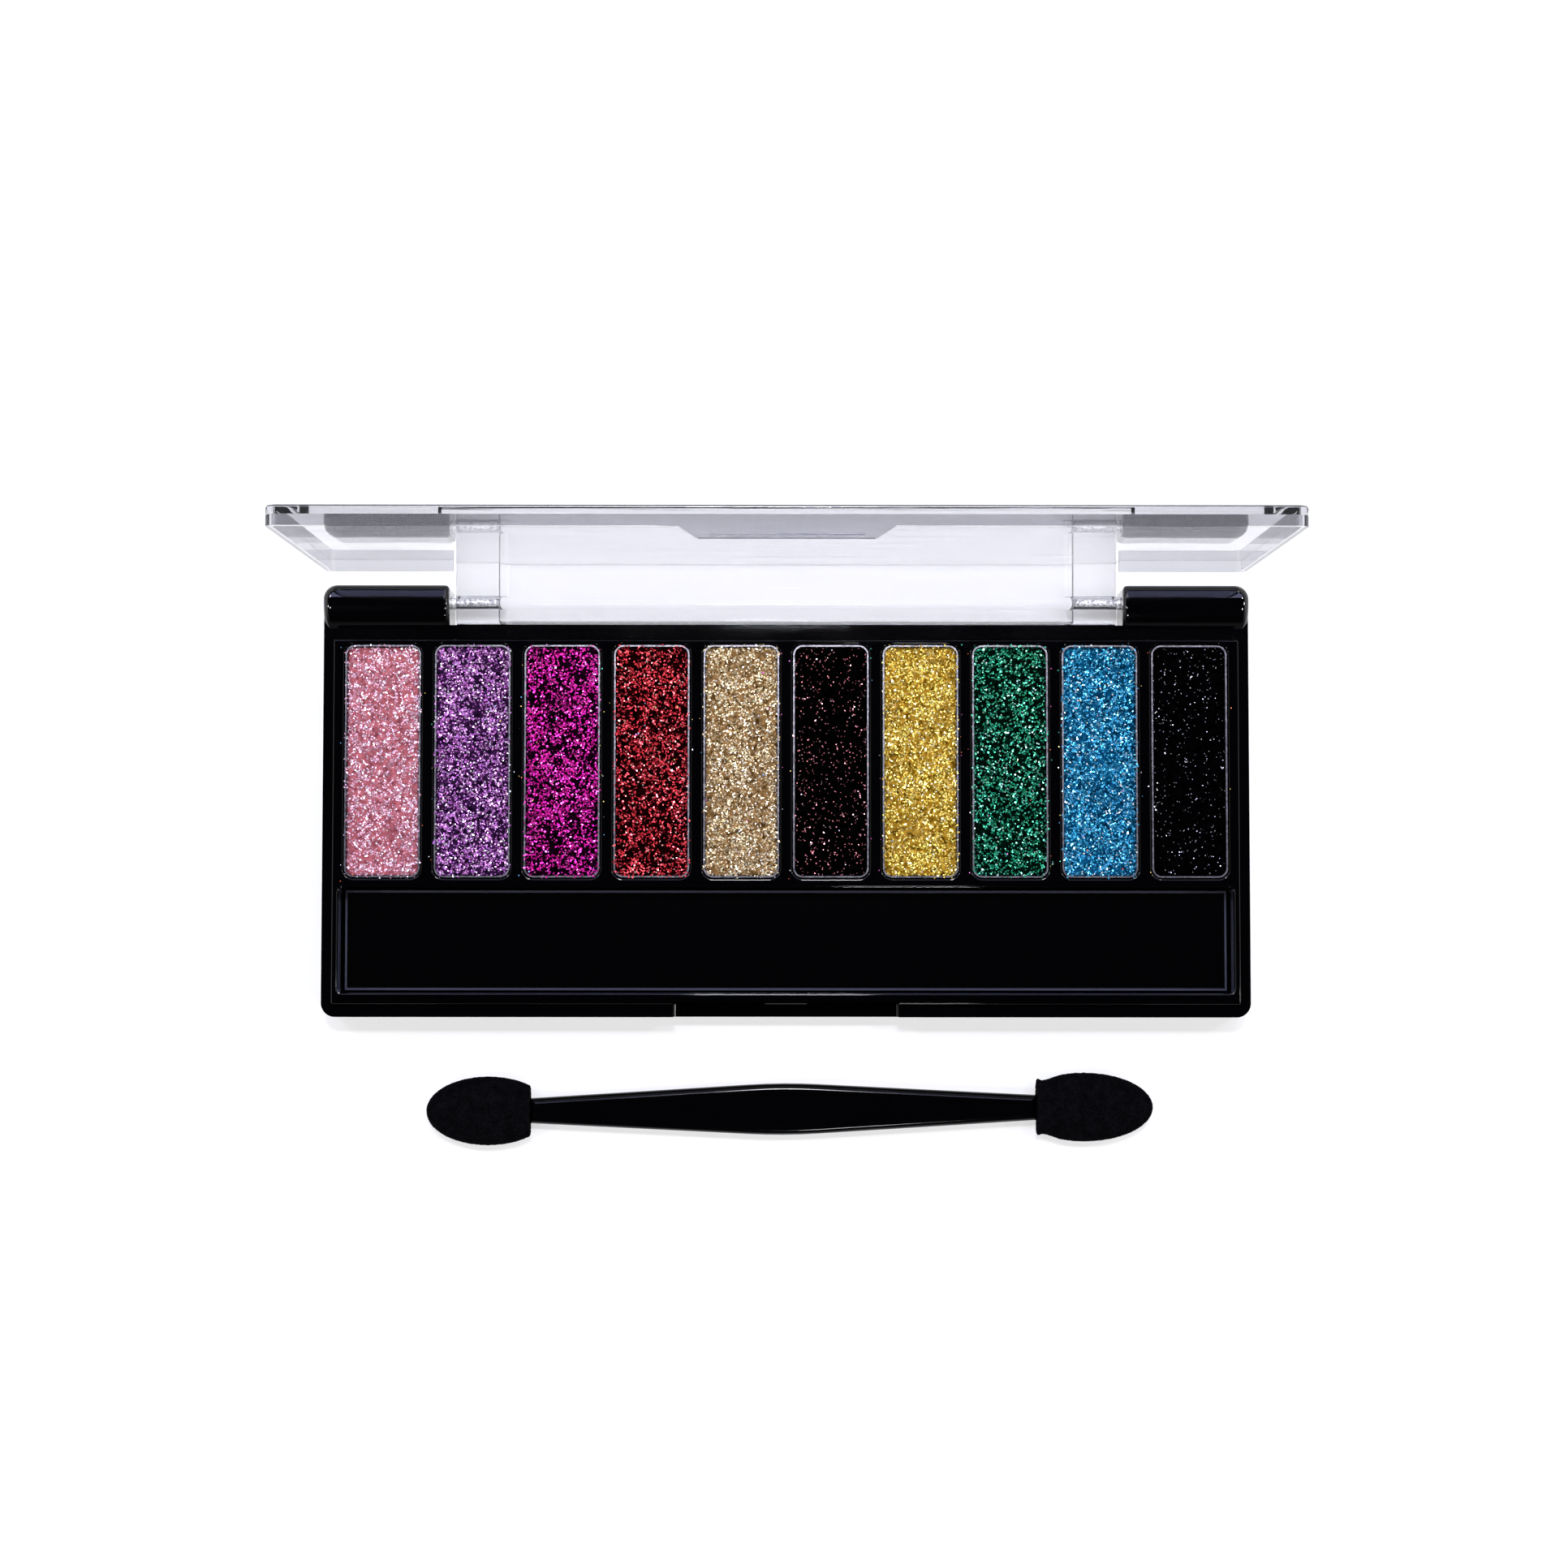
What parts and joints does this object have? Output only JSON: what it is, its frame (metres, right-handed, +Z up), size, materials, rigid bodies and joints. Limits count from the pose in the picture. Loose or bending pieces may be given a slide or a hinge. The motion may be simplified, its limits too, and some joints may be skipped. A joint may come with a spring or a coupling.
{
  "type": "eyeshadow palette",
  "caption": "Slim eyeshadow palette with pressed glitter pans in a row, a hinged clear lid, and a trough with a mirror strip for a double-ended sponge applicator.",
  "frame": {"origin": "centre of the case's flat underside", "axes": "+Z up, +X along the row of pans to the right, +Y towards the hinge"},
  "size_m": [0.118, 0.0756, 0.0563],
  "materials": {
    "case_black": "glossy",
    "deck_black": "glossy",
    "lid_clear": "clear polystyrene, glossy",
    "pin_steel": "drawn steel wire",
    "pan_aluminium": "pressed, satin",
    "glitter_pink": "pressed glitter powder",
    "glitter_lilac": "pressed glitter powder",
    "glitter_magenta": "pressed glitter powder",
    "glitter_red": "pressed glitter powder",
    "glitter_champagne": "pressed glitter powder",
    "glitter_black_copper": "pressed glitter powder",
    "glitter_gold": "pressed glitter powder",
    "glitter_green": "pressed glitter powder",
    "glitter_blue": "pressed glitter powder",
    "glitter_black_silver": "pressed glitter powder",
    "glue": "hot-melt glue",
    "tape": "double-sided tape",
    "mirror_glass": "silvered float glass",
    "handle_black": "glossy",
    "foam_black": "open-cell foam"
  },
  "bodies": {
    "case": {"base_shell": "case_black", "pan_deck": "deck_black", "hinge_pin_left": "pin_steel", "hinge_pin_right": "pin_steel", "pan_01": "pan_aluminium", "pan_02": "pan_aluminium", "pan_03": "pan_aluminium", "pan_04": "pan_aluminium", "pan_05": "pan_aluminium", "pan_06": "pan_aluminium", "pan_07": "pan_aluminium", "pan_08": "pan_aluminium", "pan_09": "pan_aluminium", "pan_10": "pan_aluminium", "glitter_01": "glitter_pink", "glitter_02": "glitter_lilac", "glitter_03": "glitter_magenta", "glitter_04": "glitter_red", "glitter_05": "glitter_champagne", "glitter_06": "glitter_black_copper", "glitter_07": "glitter_gold", "glitter_08": "glitter_green", "glitter_09": "glitter_blue", "glitter_10": "glitter_black_silver", "pan_glue": "glue", "mirror_tape": "tape", "mirror_strip": "mirror_glass"},
    "lid": {"lid": "lid_clear"},
    "applicator": {"applicator_handle": "handle_black", "sponge_tip_left": "foam_black", "sponge_tip_right": "foam_black"}
  },
  "joints": [
    {"name": "lid_hinge", "type": "hinge", "parent": "case", "child": "lid", "pos_m": [0, 0.02565, 0.00325], "axis": [-1, 0, 0], "range_deg": [-89, 0]},
    {"name": "applicator_put_away", "type": "hinge", "parent": "case", "child": "applicator", "pos_m": [0, -0.0285, 0.0036], "axis": [1, 0, 0], "range_deg": [-180, 0]}
  ]
}
